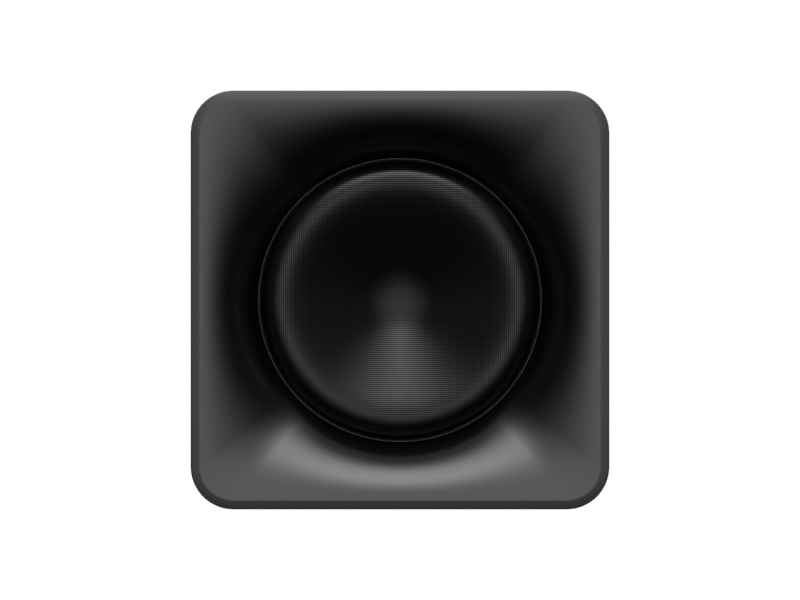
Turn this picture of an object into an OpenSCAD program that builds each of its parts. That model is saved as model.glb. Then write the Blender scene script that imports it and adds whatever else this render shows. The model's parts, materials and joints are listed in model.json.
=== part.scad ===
// Powered subwoofer: a cube-shaped cabinet, a square-to-round horn and a woofer behind a woven grille.
// Millimetres. +X is right seen from the front, +Y runs from front to back and +Z is up.
// The origin is on the floor, under the middle of the cabinet.
// A depth is a distance back from the front rim. A height in the plate frame is a distance out
// from the outer face of the amplifier plate, and is negative inside the cabinet.

/* [Cabinet] */
// Width and height of the cabinet
body_w = 345; // [343:1:352]
// Depth of the cabinet from the front rim to the back rim
body_d = 345; // [340:1:380]
// Outer corner radius of the cabinet, seen from the front
corner_r = 35.4; // [33:0.2:38]
// Thickness of the cabinet walls
wall_t = 15; // [13:0.5:15]
// Height that the feet lift the cabinet off the floor
foot_h = 2.5; // [2:0.5:6]
// Radius of a foot
foot_r = 15; // [12:1:18]
// Distance from the cabinet's sides, front and back to the middle of a foot
foot_inset = 75; // [56:1:90]

/* [Horn] */
// Width of the bevelled rim round the mouth of the horn
rim_w = 7.4; // [6:0.2:8]
// How far the bevelled rim slopes back
rim_drop = 1.4; // [1:0.2:4]
// Depth of the round throat, where the flare ends
horn_depth = 40; // [38:1:44]
// Radius of the round throat
throat_r = 118; // [117.6:0.1:118.4]
// Slope of the flare where it leaves the rim, in degrees from the front plane
mouth_slope = 5; // [2:1:10]
// Slope of the flare where it meets the throat, in degrees from the front plane
throat_slope = 65; // [60:1:70]

/* [Woofer] */
// Travel of the cone each way from rest
stroke = 10; // [6:1:10]
// Radius of the cone where the surround begins
cone_r = 80; // [78:1:80]
// Radius of the dust cap
cap_r = 36; // [30:1:38]
// Radius of the ferrite magnet
magnet_r = 70; // [66:1:74]
// Thickness of the ferrite magnet
magnet_t = 24; // [20:1:28]

/* [Grille] */
// How far the rolled shoulder of the grille stands in front of the throat
shoulder_h = 17.6; // [16:0.2:19]
// Slope of the dished middle of the grille, in degrees
dish_slope = 25; // [20:1:26]

/* [Amplifier] */
// Width of the amplifier plate
amp_w = 190; // [184:2:200]
// Height of the amplifier plate
amp_h = 250; // [246:2:260]
// Diameter of the two control knobs
knob_d = 22; // [18:1:26]
// Travel of the phase switch
phase_travel = 4; // [3:0.5:5]
// Travel of the mode switch, end to end
mode_travel = 6; // [4:0.5:7]
// Swing of the mains rocker, in degrees
rocker_swing = 18; // [12:1:20]

/* [Hidden] */
$fn = 96;

satin_black = "#1b1b1c";
plastic_black = "#151516";
fabric_black = "#202022";
board_green = "#1f4a33";
steel = "#9a9da1";
ferrite = "#3a3a3c";
copper = "#b06a3a";
brass = "#c2a14d";
mdf = "#8a6d4b";
foam = "#2a2a2b";

// Small clearances
seam = 0.4;
fit = 0.1;

// Cabinet
axis_z = foot_h + body_w / 2;
half_w = body_w / 2;
corner_c = half_w - corner_r;
shell_front = 24 + seam;
inner_half = half_w - wall_t;
panel_half = inner_half - 0.3;
foot_top = foot_h + 5;
foot_spots = [for (x = [-1, 1], y = [-1, 1]) [x * (half_w - foot_inset), y * (body_d / 2 - foot_inset)]];

// Stack of depths from the throat back to the baffle
seat_d = horn_depth + 6;
horn_back_d = seat_d + 3;
flange_d = horn_back_d + 2;
baffle_d = flange_d + 5;
baffle_t = 18;
brace_d = flange_d + 173;
brace_t = 16;

// Horn
mouth_half = half_w - rim_w;
skirt_half = inner_half - 0.5;
skirt_t = 3;
side_t = 4;
flange_in_r = 106;
flange_out_r = 127;
side_steps = 16;
corner_steps = 6;
ring_n = 4 * (side_steps + corner_steps);
flare_steps = 16;
boss_r = 4.5;
corner_boss = half_w - 36.5;
side_boss = half_w - 29.5;
corner_mouth = norm([corner_c, corner_c]) + corner_r - rim_w;
boss_spots = concat(
    [for (x = [-1, 1], y = [-1, 1]) [x * corner_boss, y * corner_boss]],
    [for (a = [0 : 90 : 270]) side_boss * [cos(a), sin(a)]]
);

// Woofer, in depths
cutout_r = 117.5;
screw_ring_r = 123.5;
screw_r = 1.9;
roll_r = 9;
roll_t = 1.2;
roll_mid = cone_r + 15;
neck_r = 25.6;
cone_drop = 48;
ledge_d = flange_d + 58;
yoke_d = flange_d + 75;
former_r = 25.5;
gap_t = 8;
coil_mid = yoke_d + gap_t / 2;
coil_half = gap_t / 2 + 0.8 * stroke;
vent_r = 8;
magnet_d = yoke_d + gap_t;
back_plate_d = magnet_d + magnet_t;

// Grille. The woven skin is the outermost layer and the steel dish lies just behind it.
rim_r = throat_r - 0.4;
wall_r = throat_r - 2.8;
shoulder_mid = wall_r - shoulder_h;
crest_d = horn_depth - shoulder_h;
roof_r = 33;
middle_r = 66;
cloth_t = 0.8;
sheet_t = 1.2;
lip_d = seat_d - 0.1;
magnet_ring_r = 109.8;
small_magnet_r = 2;
dish_join = shoulder_mid - roof_r * sin(dish_slope);
dish_drop = roof_r * (1 - cos(dish_slope)) + (dish_join - middle_r * sin(dish_slope)) * tan(dish_slope);
dish_d = crest_d + dish_drop + middle_r * (1 - cos(dish_slope));

// Amplifier, in the plate frame: x is right seen from behind, y is up from the middle of the cabinet
plate_inset = 13;
plate_t = 2;
gasket_t = 1;
panel_t = 15;
panel_top = -plate_t - gasket_t;
panel_inset = plate_inset - panel_top;
opening_w = 160;
opening_h = 220;
tub_w = 156;
tub_h = 216;
tub_depth = 60;
tub_t = 2;
board_t = 1.6;
front_board_z = -16;
front_board_top = front_board_z + board_t;
deep_board_z = -40;
deep_board_top = deep_board_z + board_t;
front_board_mid = 52;
deep_board_mid = -54;
gain_spot = [-45, 80];
crossover_spot = [45, 80];
phase_spot = [-45, 36];
mode_spot = [45, 36];
led_spot = [0, 95];
pair_spot = [0, 76];
rca_spots = [[-12, 20], [12, 20]];
inlet_spot = [-35, -88];
rocker_spot = [40, -88];
amp_screw_spots = concat(
    [for (x = [-1, 1], k = [-1.5 : 1 : 1.5]) [x * (amp_w / 2 - 6), k * (amp_h - 16) / 3]],
    [for (y = [-1, 1]) [0, y * (amp_h / 2 - 6)]]
);
standoff_spots = [for (x = [-1, 1], y = [-1, 1]) [x * 64, y * 40]];
stem_r = 3;
bushing_r = 4.5;
sleeve_r = 4.15;
sleeve_out = 9;
collar_r = 6;
button_r = 4;
lens_r = 2.4;
rocker_half = 9.2;
rocker_w = 12.6;
pivot_z = -1;
wire_r = 1.6;
wire_x = 20;
wire_in_x = 13;
wire_in_y = -20;
tag_y = 93;
tag_d = flange_d + 36;

// ---------- helpers ----------

// A frame on the woofer's axis at a depth: x right and y up seen from the front, z towards the front
module on_axis(depth) {
    translate([0, -body_d / 2 + depth, axis_z])
        rotate([90, 0, 0])
            children();
}

// The plate frame: x right and y up seen from behind, z towards the back
module on_plate(spot = [0, 0]) {
    translate([0, body_d / 2 - plate_inset, axis_z])
        rotate([90, 0, 180])
            translate([spot[0], spot[1], 0])
                children();
}

module rounded_rect(w, h, r) {
    square([w - 2 * r, h], center = true);
    square([w, h - 2 * r], center = true);
    for (x = [-1, 1], y = [-1, 1])
        translate([x * (w / 2 - r), y * (h / 2 - r)])
            circle(r);
}

// A rounded square concentric with the cabinet's outline
module outline_square(half) {
    rounded_rect(2 * half, 2 * half, half - corner_c);
}

// A panel of the cabinet between two depths
module panel(half, d1, d2) {
    on_axis(d2)
        linear_extrude(d2 - d1)
            outline_square(half);
}

// A disc and a ring on the woofer's axis between two depths
module disc(r, d1, d2) {
    on_axis(d2)
        cylinder(r = r, h = d2 - d1);
}

module ring(r_in, r_out, d1, d2) {
    turned([[r_in, d1], [r_out, d1], [r_out, d2], [r_in, d2]]);
}

// A solid of revolution about the woofer's axis, from points [radius, depth]
module turned(points) {
    on_axis(0)
        rotate_extrude()
            polygon([for (p = points) [p[0], -p[1]]]);
}

// Cylinders on a list of spots, between two heights of the frame they are in
module pegs(spots, r, z1, z2) {
    for (p = spots)
        translate([p[0], p[1], z1])
            cylinder(r = r, h = z2 - z1, $fn = 32);
}

// A block centred on x and y, between two heights
module block(w, h, z1, z2) {
    translate([-w / 2, -h / 2, z1])
        cube([w, h, z2 - z1]);
}

// A round rod from one point to another
module rod(a, b, r) {
    v = b - a;
    translate(a)
        rotate([0, acos(v[2] / norm(v)), atan2(v[1], v[0])])
            cylinder(r = r, h = norm(v));
}

// A wire through a list of points [x, y, depth], with a ball at each bend
module wire(points, r, ball) {
    at = [for (p = points) [p[0], -body_d / 2 + p[2], axis_z + p[1]]];
    for (i = [0 : len(at) - 2])
        rod(at[i], at[i + 1], r);
    for (i = [1 : len(at) - 2])
        translate(at[i])
            sphere(ball * r);
}

function mix(a, b, t) = a + (b - a) * t;
function ring_spots(r, n, start = 0) = [for (i = [0 : n - 1]) r * [cos(start + 360 * i / n), sin(start + 360 * i / n)]];

// ---------- horn ----------

// Points round a rounded square. Side points are even in angle seen from the middle.
function square_ring(half) =
    let (side_a = atan(corner_c / half), r = half - corner_c)
    [for (q = [0 : 90 : 270]) each [
        for (k = [0 : side_steps - 1])
            let (a = mix(-side_a, side_a, k / side_steps))
            turn_point([half, half * tan(a)], q),
        for (k = [0 : corner_steps - 1])
            let (a = 90 * k / corner_steps)
            turn_point([corner_c + r * cos(a), corner_c + r * sin(a)], q)
    ]];
function turn_point(p, a) = [p[0] * cos(a) - p[1] * sin(a), p[0] * sin(a) + p[1] * cos(a)];

mouth_ring = square_ring(mouth_half);
function round_ring(r) = [for (p = mouth_ring) r * p / norm(p)];

// A ring of the flare: s runs from 0 at the mouth to 1 at the throat
function flare_ring(s, grow = 0) = [for (p = mouth_ring) p * (mix(norm(p), throat_r, s) + grow) / norm(p)];

// Depth of the flare. Its slope, in degrees, grows evenly with s.
function flare_d(s) =
    horn_depth * ln(cos(mouth_slope) / cos(mix(mouth_slope, throat_slope, s)))
    / ln(cos(mouth_slope) / cos(throat_slope));
function at_depth(points, d) = [for (p = points) [p[0], p[1], -d]];

// Where a boss ends inside the flare's wall
function boss_top(spot_r, mouth_r) = flare_d((mouth_r - spot_r + boss_r) / (mouth_r - throat_r)) + 1.3;

horn_rings = concat(
    [for (k = [flare_steps : -1 : 0]) at_depth(flare_ring(k / flare_steps), flare_d(k / flare_steps))],
    [
        at_depth(square_ring(half_w), rim_drop),
        at_depth(square_ring(half_w), shell_front - seam),
        at_depth(square_ring(half_w - side_t), shell_front - seam),
        at_depth(square_ring(half_w - side_t), 7),
        at_depth(square_ring(skirt_half), 7),
        at_depth(square_ring(skirt_half), baffle_d - 0.5),
        at_depth(square_ring(skirt_half - skirt_t), baffle_d - 0.5),
        at_depth(square_ring(skirt_half - skirt_t), 7)
    ],
    [for (s = [0.34, 0.5, 0.66, 0.8, 0.9]) at_depth(flare_ring(s, 3), flare_d(s) + 3.5)],
    [
        at_depth(round_ring(throat_r + 3.6), seat_d - 1),
        at_depth(round_ring(flange_out_r), seat_d),
        at_depth(round_ring(flange_out_r), horn_back_d),
        at_depth(round_ring(flange_in_r), horn_back_d),
        at_depth(round_ring(flange_in_r), seat_d),
        at_depth(round_ring(throat_r), seat_d)
    ]
);

module horn_body() {
    rings = len(horn_rings);
    polyhedron(
        points = [for (r = horn_rings) each r],
        faces = [
            for (i = [0 : rings - 1], k = [0 : ring_n - 1])
                let (j = (i + 1) % rings, m = (k + 1) % ring_n)
                each [
                    [i * ring_n + k, i * ring_n + m, j * ring_n + m],
                    [i * ring_n + k, j * ring_n + m, j * ring_n + k]
                ]
        ],
        convexity = 6
    );
}

module horn_boss(spot, top) {
    translate([spot[0], spot[1], -(baffle_d - 0.5)])
        difference() {
            cylinder(r = boss_r, h = baffle_d - 0.5 - top, $fn = 32);
            translate([0, 0, -1])
                cylinder(r = screw_r + fit, h = 21, $fn = 32);
        }
}

module waveguide() {
    color(satin_black)
        on_axis(0)
            difference() {
                union() {
                    horn_body();
                    for (k = [0 : 3])
                        horn_boss(boss_spots[k], boss_top(norm(boss_spots[k]), corner_mouth));
                    for (k = [4 : 7])
                        horn_boss(boss_spots[k], boss_top(side_boss, mouth_half));
                }
                pegs(ring_spots(magnet_ring_r, 8, 22.5), small_magnet_r + fit, -seat_d - 2.2, -seat_d + 1);
            }
}

module waveguide_screws() {
    color(steel)
        on_axis(baffle_d + baffle_t)
            for (p = boss_spots)
                translate([p[0], p[1], 0])
                    difference() {
                        union() {
                            cylinder(r = screw_r, h = baffle_t + 17, $fn = 32);
                            translate([0, 0, -2.6])
                                cylinder(r = 4, h = 2.6, $fn = 32);
                        }
                        translate([0, 0, -3])
                            cylinder(r = 1.6, h = 2, $fn = 6);
                    }
}

module horn_gasket() {
    color(foam)
        ring(112, flange_out_r + 1, horn_back_d, flange_d);
}

module seat_magnets() {
    color(steel)
        on_axis(seat_d + 2.1)
            pegs(ring_spots(magnet_ring_r, 8, 22.5), small_magnet_r, 0, 2);
}

// ---------- cabinet ----------

module cabinet_shell() {
    color(satin_black)
        difference() {
            panel(half_w, shell_front, body_d);
            panel(inner_half, shell_front - 1, body_d + 1);
            pegs(foot_spots, foot_r + fit, foot_h - 1, foot_top);
            pegs(foot_spots, 2.1, foot_h, foot_h + wall_t - 1);
        }
}

module rear_panel() {
    color(mdf)
        difference() {
            panel(panel_half, body_d - panel_inset - panel_t, body_d - panel_inset);
            on_plate() {
                translate([0, 0, panel_top - panel_t - 1])
                    linear_extrude(panel_t + 2)
                        rounded_rect(opening_w, opening_h, 8);
                pegs(amp_screw_spots, 2.1, panel_top - 14, panel_top + 1);
            }
        }
}

module front_baffle() {
    color(mdf)
        difference() {
            panel(panel_half, baffle_d, baffle_d + baffle_t);
            disc(cutout_r, baffle_d - 1, baffle_d + baffle_t + 1);
            on_axis(baffle_d + baffle_t) {
                pegs(boss_spots, screw_r + fit, -1, baffle_t + 1);
                pegs(ring_spots(screw_ring_r, 8, 22.5), screw_r + fit, 1, baffle_t + 1);
            }
        }
}

module window_brace() {
    color(mdf)
        difference() {
            panel(panel_half, brace_d, brace_d + brace_t);
            on_axis(brace_d + brace_t + 1)
                linear_extrude(brace_t + 2)
                    rounded_rect(2 * inner_half - 90, 2 * inner_half - 90, 30);
        }
}

module acoustic_wadding() {
    color("#d8d5cc")
        difference() {
            panel(panel_half - 2, brace_d - 44, brace_d - 2);
            disc(108, brace_d - 45, brace_d - 1);
        }
}

module feet() {
    color(foam)
        difference() {
            pegs(foot_spots, foot_r, 0, foot_top);
            pegs(foot_spots, 5.2, -1, foot_top - 4.9);
            pegs(foot_spots, 2.3, 0, foot_top + 1);
        }
}

module foot_screws() {
    color(steel)
        for (p = foot_spots)
            translate([p[0], p[1], 0])
                difference() {
                    union() {
                        translate([0, 0, foot_top - 7.2])
                            cylinder(r = 4.6, h = 2.3, $fn = 32);
                        translate([0, 0, foot_top - 5])
                            cylinder(r = 2, h = 12.5, $fn = 32);
                    }
                    translate([0, 0, foot_top - 8])
                        cylinder(r = 1.8, h = 2, $fn = 6);
                }
}

// ---------- woofer ----------

module driver_basket() {
    f = flange_d;
    color("#26272a")
        difference() {
            union() {
                turned([
                    [104, f], [129, f], [129, f + 4], [110, f + 4], [71, f + 56], [71, ledge_d + 3],
                    [66, ledge_d + 3], [66, yoke_d], [34, yoke_d], [34, yoke_d - 3.5], [62, yoke_d - 3.5],
                    [62, ledge_d + 3], [57, ledge_d + 3], [57, ledge_d], [66, ledge_d], [66.5, ledge_d - 4],
                    [104, f + 6]
                ]);
                on_axis(tag_d + 5)
                    translate([-6, 74, 0])
                        cube([12, tag_y - 76, 10]);
            }
            on_axis(0) {
                for (k = [0 : 5])
                    rotate([0, 0, 100 + 60 * k])
                        rotate_extrude(angle = 40)
                            translate([60, -f - 53])
                                square([60, 45]);
                for (p = ring_spots(screw_ring_r, 8, 22.5))
                    translate([p[0], p[1], -f - 5]) {
                        cylinder(r = screw_r + 0.2, h = 6, $fn = 32);
                        translate([0, 0, 2.6])
                            cylinder(r1 = screw_r + 0.1, r2 = 4.3, h = 2.5, $fn = 32);
                    }
            }
        }
}

module driver_gasket() {
    color(foam)
        difference() {
            ring(cutout_r + 0.5, 129, flange_d + 4, baffle_d);
            on_axis(baffle_d + 1)
                pegs(ring_spots(screw_ring_r, 8, 22.5), screw_r + 0.2, 0, 3);
        }
}

module driver_screws() {
    color(steel)
        on_axis(flange_d)
            for (p = ring_spots(screw_ring_r, 8, 22.5))
                translate([p[0], p[1], 0])
                    difference() {
                        union() {
                            translate([0, 0, -20])
                                cylinder(r = screw_r, h = 19, $fn = 32);
                            translate([0, 0, -2.2])
                                cylinder(r1 = screw_r, r2 = 3.9, h = 2.1, $fn = 32);
                        }
                        translate([0, 0, -1.4])
                            cylinder(r = 1.5, h = 2, $fn = 6);
                    }
}

module top_plate() {
    color(steel)
        ring(28, 66, yoke_d, magnet_d);
}

module magnet() {
    color(ferrite)
        ring(32, magnet_r, magnet_d, back_plate_d);
}

module pole_yoke() {
    color(steel)
        turned([
            [vent_r, yoke_d], [24.2, yoke_d], [24.2, back_plate_d], [66, back_plate_d],
            [66, back_plate_d + 6], [64, back_plate_d + 8], [vent_r, back_plate_d + 8]
        ]);
}

// A corrugated cloth ring that centres the coil
module spider() {
    in_r = former_r + 0.1;
    out_r = 65;
    waves = 5;
    steps = 40;
    flat = 3;
    function wave_d(r) =
        let (t = min(1, max(0, (r - in_r - flat) / (out_r - in_r - 4 * flat))))
        ledge_d - 1 - 2 * sin(360 * waves * t) * sin(180 * t);
    path = [for (k = [0 : steps]) let (r = mix(in_r, out_r, k / steps)) [r, wave_d(r)]];
    color("#b89b5e")
        turned(concat(
            [for (p = path) [p[0], p[1] + 0.9]],
            [for (k = [steps : -1 : 0]) path[k]]
        ));
}

module surround() {
    color("#19191a")
        on_axis(flange_d)
            rotate_extrude() {
                difference() {
                    translate([roll_mid, 0])
                        circle(roll_r + roll_t);
                    translate([roll_mid, 0])
                        circle(roll_r);
                    translate([cone_r - 5, -2 * roll_r])
                        square([4 * roll_r, 2 * roll_r]);
                }
                translate([cone_r + 0.5, 0])
                    square([15 - roll_r - 1, 1]);
                translate([roll_mid + roll_r + 0.5, 0])
                    square([111 - roll_mid - roll_r - 0.5, 1]);
            }
}

module cone() {
    f = flange_d;
    color("#202124")
        turned([
            [cone_r + 6.5, f], [cone_r + 6.5, f + 1], [cone_r + 0.6, f + 1.4],
            [neck_r + 1.6, f + cone_drop + 1.6], [neck_r + 1.6, f + cone_drop + 5], [neck_r, f + cone_drop + 5],
            [neck_r, f + cone_drop], [neck_r + 0.7, f + cone_drop], [cone_r, f]
        ]);
}

// A dome glued to the cone
module dust_cap() {
    rise = 12;
    dome_r = (cap_r * cap_r + rise * rise) / (2 * rise);
    rim_d = flange_d + cone_drop * (cone_r - cap_r) / (cone_r - neck_r - 0.7) - 0.3;
    mid_d = rim_d - rise + dome_r;
    edge_a = asin(cap_r / dome_r);
    steps = 12;
    function dome(r) = [for (k = [0 : steps]) let (a = edge_a * k / steps) [r * sin(a), mid_d - r * cos(a)]];
    skin = dome(dome_r);
    lining = dome(dome_r - 0.8);
    color("#232427")
        turned(concat(skin, [for (k = [steps : -1 : 0]) lining[k]]));
}

module coil_former() {
    color("#c9b27a")
        ring(former_r - 0.5, former_r, flange_d + cone_drop - 1, coil_mid + coil_half);
}

module voice_coil() {
    color(copper)
        ring(former_r, former_r + 1.8, coil_mid - coil_half, coil_mid + coil_half);
}

// Braided leads that sag between the terminal strip and the back of the cone
module tinsel_leads() {
    f = flange_d;
    end_y = 46;
    end_d = f + cone_drop * (cone_r - 47) / (cone_r - neck_r - 0.7) + 3.2;
    steps = 6;
    color(copper)
        for (x = [-1, 1])
            wire([
                for (k = [0 : steps])
                    let (t = k / steps)
                    [x * mix(wire_x, 9, t), mix(tag_y - 3, end_y, t), mix(tag_d, end_d, t) + 12 * sin(180 * t)]
            ], 0.8, 1.1);
}

module driver_terminals() {
    color(brass)
        on_axis(tag_d) {
            translate([-wire_x - 4, tag_y - 2, -5])
                cube([2 * wire_x + 8, 2, 10]);
            for (x = [-1, 1])
                translate([x * wire_x - 2.5, tag_y - 0.5, -7])
                    cube([5, 2.5, 14]);
        }
}

module speaker_wire(side) {
    wire([
        [side * wire_x, tag_y + 4, tag_d],
        [side * wire_x, tag_y + 4, tag_d + 18],
        [side * 14, 84, tag_d + 45],
        [side * 14, 84, brace_d - 24],
        [side * wire_in_x, wire_in_y, brace_d + 30],
        [side * wire_in_x, wire_in_y, body_d - plate_inset + deep_board_z - 0.1]
    ], wire_r, 1.3);
}

module speaker_wire_red() {
    color("#a3261f")
        speaker_wire(1);
}

module speaker_wire_black() {
    color(plastic_black)
        speaker_wire(-1);
}

// ---------- grille ----------

// Points [radius, depth] from the middle to the wall, a distance behind the outer surface of the skin
function dish(back) = concat(
    [for (k = [0 : 5]) let (a = dish_slope * k / 5)
        [(middle_r + back) * sin(a), dish_d - middle_r + (middle_r + back) * cos(a)]],
    [for (k = [0 : 5]) let (a = 90 + dish_slope * (1 - k / 5))
        [shoulder_mid + (roof_r - back) * cos(a), crest_d + roof_r - (roof_r - back) * sin(a)]],
    [for (k = [1 : 10]) let (a = 90 - 9 * k)
        [shoulder_mid + (shoulder_h - back) * cos(a), horn_depth - (shoulder_h - back) * sin(a)]]
);
function reversed(list) = [for (k = [len(list) - 1 : -1 : 0]) list[k]];

module grille_cloth() {
    color(fabric_black)
        turned(concat(
            dish(0),
            [
                [wall_r, lip_d - 2], [rim_r, lip_d - 2], [rim_r, lip_d], [rim_r - 0.7, lip_d],
                [rim_r - 0.7, lip_d - 1.3], [wall_r - cloth_t, lip_d - 1.3]
            ],
            reversed(dish(cloth_t))
        ));
}

module grille_plate() {
    skin = cloth_t + fit;
    hole_rows = 5;
    hole_pitch = 15;
    hole_r = 5;
    color(plastic_black)
        difference() {
            turned(concat(
                dish(skin),
                [
                    [wall_r - skin, lip_d - 1.2], [rim_r - 0.8, lip_d - 1.2], [rim_r - 0.8, lip_d],
                    [wall_r - skin - sheet_t, lip_d]
                ],
                reversed(dish(skin + sheet_t))
            ));
            on_axis(dish_d + 10)
                for (row = [0 : hole_rows])
                    pegs(ring_spots(row * hole_pitch, max(1, 6 * row)), hole_r, 0, 50);
        }
}

module grille_ring() {
    color(plastic_black)
        difference() {
            ring(107, wall_r - cloth_t - fit - sheet_t - 0.2, seat_d - 5, seat_d - 0.2);
            on_axis(seat_d)
                pegs(ring_spots(magnet_ring_r, 8, 22.5), small_magnet_r + fit, 0, 2.4);
        }
}

module grille_magnets() {
    color(steel)
        on_axis(seat_d - 0.3)
            pegs(ring_spots(magnet_ring_r, 8, 22.5), small_magnet_r, 0, 2);
}

// ---------- amplifier ----------

module amp_plate() {
    color("#1d1e20")
        on_plate()
            difference() {
                translate([0, 0, -plate_t])
                    linear_extrude(plate_t)
                        rounded_rect(amp_w, amp_h, 6);
                pegs(amp_screw_spots, 2.3, -3, 1);
                pegs([gain_spot, crossover_spot], bushing_r + fit, -3, 1);
                pegs([led_spot], lens_r + fit, -3, 1);
                pegs([pair_spot], button_r + 0.06, -3, 1);
                pegs(rca_spots, collar_r + fit, -3, 1);
                translate(phase_spot)
                    block(phase_travel + 3.6, 4.2, -3, 1);
                translate(mode_spot)
                    block(mode_travel + 3.6, 4.2, -3, 1);
                translate(inlet_spot)
                    block(28.4, 18.4, -3, 1);
                translate(rocker_spot)
                    block(18.4, 27.4, -3, 1);
            }
}

module amp_gasket() {
    color(foam)
        on_plate()
            translate([0, 0, panel_top])
                difference() {
                    linear_extrude(gasket_t)
                        rounded_rect(amp_w, amp_h, 6);
                    translate([0, 0, -1])
                        linear_extrude(gasket_t + 2)
                            rounded_rect(opening_w, opening_h, 8);
                    pegs(amp_screw_spots, 2.3, -1, gasket_t + 1);
                }
}

module amp_screws() {
    color("#55575a")
        on_plate()
            for (p = amp_screw_spots)
                translate([p[0], p[1], 0])
                    difference() {
                        union() {
                            cylinder(r = 4, h = 2.2, $fn = 32);
                            translate([0, 0, -16])
                                cylinder(r = 2, h = 17, $fn = 32);
                        }
                        translate([0, 0, 0.8])
                            cylinder(r = 1.7, h = 2, $fn = 6);
                    }
}

module amp_enclosure() {
    z0 = -plate_t - tub_depth;
    color("#6d7075")
        on_plate()
            difference() {
                translate([0, 0, z0])
                    linear_extrude(tub_depth)
                        rounded_rect(tub_w, tub_h, 6);
                translate([0, 0, z0 + tub_t])
                    linear_extrude(tub_depth)
                        rounded_rect(tub_w - 2 * tub_t, tub_h - 2 * tub_t, 4);
                pegs([for (x = [-1, 1]) [x * wire_in_x, wire_in_y]], wire_r + 1.4, z0 - 1, z0 + tub_t + 1);
            }
}

module heatsink() {
    fins = 13;
    pitch = 9;
    color("#2b2c2f")
        on_plate([0, -32])
            union() {
                block(120, 44, 0, 3);
                for (k = [0 : fins - 1])
                    translate([(k - (fins - 1) / 2) * pitch, 0, 0])
                        block(1.8, 44, 1, 11);
            }
}

module control_board() {
    color(board_green)
        on_plate([0, front_board_mid])
            block(140, 96, front_board_z, front_board_top);
}

module power_board() {
    color(board_green)
        on_plate([0, deep_board_mid])
            block(140, 92, deep_board_z, deep_board_top);
}

module board_standoffs() {
    color(brass)
        on_plate() {
            translate([0, front_board_mid, 0])
                pegs(standoff_spots, 3, front_board_top, -plate_t);
            translate([0, deep_board_mid, 0])
                pegs(standoff_spots, 3, deep_board_top, -plate_t);
        }
}

module transformer() {
    color("#8c5a2c")
        on_plate([30, -65])
            translate([0, 0, deep_board_z - 18])
                rotate_extrude()
                    translate([17.5, 9])
                        rounded_rect(17, 18, 5);
}

module capacitors() {
    color("#3c4a63")
        on_plate()
            pegs([[-50, -30], [-50, -52], [-50, -74], [-27, -80]], 9, deep_board_z - 18, deep_board_z);
}

module wireless_board() {
    color(board_green)
        on_plate([0, 62])
            union() {
                block(36, 24, front_board_z - 1.2, front_board_z);
                block(24, 16, front_board_z - 3.4, front_board_z - 1);
            }
}

module pot(spot) {
    on_plate(spot)
        difference() {
            union() {
                block(16, 18, front_board_top, -4);
                translate([0, 0, -5])
                    cylinder(r = bushing_r, h = 8);
            }
            translate([0, 0, -11])
                cylinder(r = stem_r + 0.08, h = 20);
        }
}

// A fluted knob with its stem and a pointer groove
module knob(spot) {
    r = knob_d / 2;
    on_plate(spot)
        difference() {
            union() {
                translate([0, 0, 3.4])
                    cylinder(r = r, h = 7);
                translate([0, 0, 10.4])
                    cylinder(r1 = r, r2 = r - 1, h = 1);
                translate([0, 0, -10])
                    cylinder(r = stem_r, h = 14);
            }
            for (a = [0 : 15 : 345])
                rotate([0, 0, a])
                    translate([r + 0.5, 0, 5])
                        cylinder(r = 1, h = 8, $fn = 24);
            translate([-0.6, 4, 10.8])
                cube([1.2, r, 2]);
        }
}

module gain_pot() {
    color(steel)
        pot(gain_spot);
}

module gain_knob() {
    color(plastic_black)
        knob(gain_spot);
}

module crossover_pot() {
    color(steel)
        pot(crossover_spot);
}

module crossover_knob() {
    color(plastic_black)
        knob(crossover_spot);
}

// A slide switch: a channel box on the board, and a slider whose nub stands out of the plate
module switch_box(spot, travel) {
    on_plate(spot)
        difference() {
            block(travel + 12, 9, front_board_top, -plate_t - 0.3);
            block(travel + 8.4, 6.1, -8, 0);
        }
}

module slider(spot, shift) {
    on_plate(spot)
        translate([shift, 0, 0])
            union() {
                block(8, 6, -7.8, -plate_t - 0.8);
                block(3, 3.6, -4, 3);
            }
}

module phase_switch() {
    color(steel)
        switch_box(phase_spot, phase_travel);
}

module phase_slider() {
    color(plastic_black)
        slider(phase_spot, -phase_travel / 2);
}

module mode_switch() {
    color(steel)
        switch_box(mode_spot, mode_travel);
}

module mode_slider() {
    color(plastic_black)
        slider(mode_spot, 0);
}

module pair_switch() {
    color(plastic_black)
        on_plate(pair_spot)
            union() {
                block(6, 6, front_board_top, -12.2);
                translate([0, 0, -12.4])
                    cylinder(r = 1.6, h = 0.5, $fn = 32);
            }
}

module pair_button() {
    color("#2d2e31")
        on_plate(pair_spot)
            union() {
                translate([0, 0, -3.4])
                    cylinder(r = button_r, h = 4.4);
                translate([0, 0, 1])
                    cylinder(r1 = button_r, r2 = button_r - 0.5, h = 0.5);
                translate([0, 0, -3.6])
                    cylinder(r = button_r + 1, h = 1);
                translate([0, 0, -10.9])
                    cylinder(r = 1.6, h = 8);
            }
}

module status_led() {
    color("#dfe6ea")
        on_plate(led_spot)
            union() {
                translate([0, 0, front_board_top])
                    cylinder(r = lens_r, h = -front_board_top + 0.3);
                translate([0, 0, 0.3])
                    cylinder(r1 = lens_r, r2 = lens_r - 0.6, h = 0.5);
            }
}

module rca_housing() {
    color(plastic_black)
        on_plate()
            difference() {
                union() {
                    translate([0, rca_spots[0][1], 0])
                        block(38, 14, front_board_top, -plate_t);
                    pegs(rca_spots, 3.2, -3, sleeve_out - 0.6);
                }
                pegs(rca_spots, 2, -8, sleeve_out);
            }
}

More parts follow.
